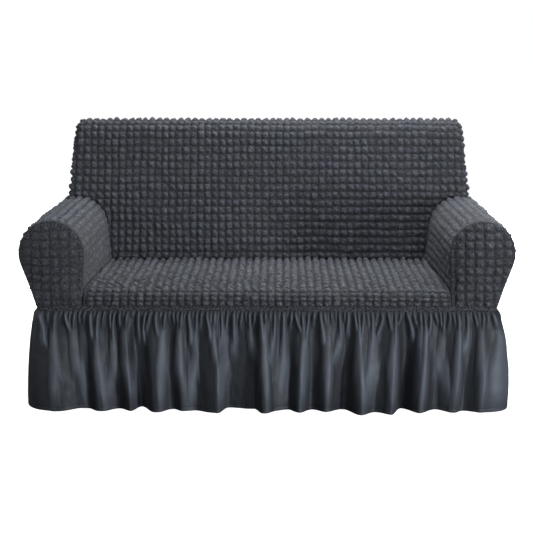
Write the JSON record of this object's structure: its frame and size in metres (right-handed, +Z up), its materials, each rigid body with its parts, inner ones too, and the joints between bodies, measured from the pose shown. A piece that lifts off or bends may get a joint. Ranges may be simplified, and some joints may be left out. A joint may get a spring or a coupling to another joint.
{
  "type": "sofa slipcover",
  "caption": "Fitted stretch cover for a small sofa: bubble-textured seat, back and rolled arms, a plain waist band and a gathered skirt that hangs to the floor.",
  "frame": {"origin": "inner face of the cloth under the middle of the back's top, where the sofa inside holds the cover up; the floor is 0.904 m below", "axes": "+X to the right as seen from the front, +Y towards the back of the sofa, +Z up"},
  "size_m": [1.6281, 1.0145, 0.9055],
  "materials": {
    "bubble_knit": "charcoal grey bubble-textured stretch knit",
    "band_knit": "charcoal grey plain elastic knit",
    "skirt_satin": "charcoal grey smooth woven cloth with a soft sheen"
  },
  "bodies": {
    "root": {"seat_panel": "bubble_knit", "arm_panel_left": "bubble_knit", "arm_panel_right": "bubble_knit", "arm_front_left": "bubble_knit", "arm_front_right": "bubble_knit", "back_panel": "bubble_knit", "outside_back_panel": "bubble_knit", "waist_band": "band_knit", "skirt_front": "skirt_satin", "skirt_left": "skirt_satin", "skirt_right": "skirt_satin", "skirt_rear": "skirt_satin"}
  },
  "joints": []
}
